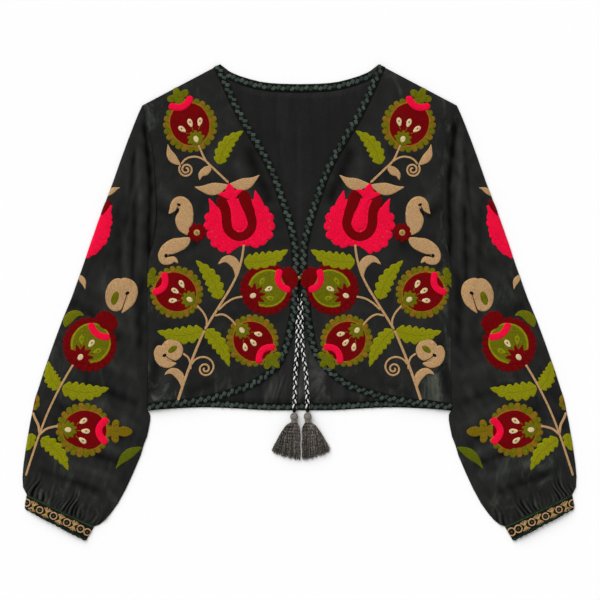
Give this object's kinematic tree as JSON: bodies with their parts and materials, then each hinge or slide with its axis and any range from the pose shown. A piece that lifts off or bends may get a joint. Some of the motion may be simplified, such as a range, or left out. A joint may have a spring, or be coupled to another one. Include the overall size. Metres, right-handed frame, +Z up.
{
  "type": "bolero jacket (european folk dress), laid out flat on its back",
  "caption": "Short folk jacket laid flat, fronts up: deep V neck, curved hems, full sleeves gathered into cuffs, ties with tassels.",
  "frame": {"origin": "middle of the jacket on the surface that it lies on", "axes": "+X to the wearer's left, +Y towards the neck, +Z up, out of the fronts"},
  "size_m": [0.8308, 0.7137, 0.0138],
  "materials": {
    "velvet": "black velvet with a soft sheen",
    "lining": "charcoal brushed lining",
    "braid_trim": "woven folk braid, grey-green diamonds on black",
    "cuff_band": "woven folk band in tan, gold and black",
    "piping": "green piping",
    "edging": "looped edging in black and green",
    "cord": "four-strand braid, black and white",
    "tassel_yarn": "warm grey yarn",
    "embroidery": "chain-stitched silk floss in pink, red, greens, ochre and tan",
    "hook_metal": "dull olive-gold"
  },
  "bodies": {
    "root": {"back_panel": "velvet", "lining_back": "lining", "neck_trim_back": "braid_trim", "hem_trim_back": "braid_trim", "front_left": "velvet", "front_trim_left": "braid_trim", "sleeve_left": "velvet", "cuff_piping_left": "piping", "cuff_left": "cuff_band", "cuff_edging_left": "edging", "tie_cord_left": "cord", "tassel_left": "tassel_yarn", "front_right": "velvet", "front_trim_right": "braid_trim", "sleeve_right": "velvet", "cuff_piping_right": "piping", "cuff_right": "cuff_band", "cuff_edging_right": "edging", "tie_cord_right": "cord", "tassel_right": "tassel_yarn", "hook_and_eye": "hook_metal"}
  },
  "joints": []
}
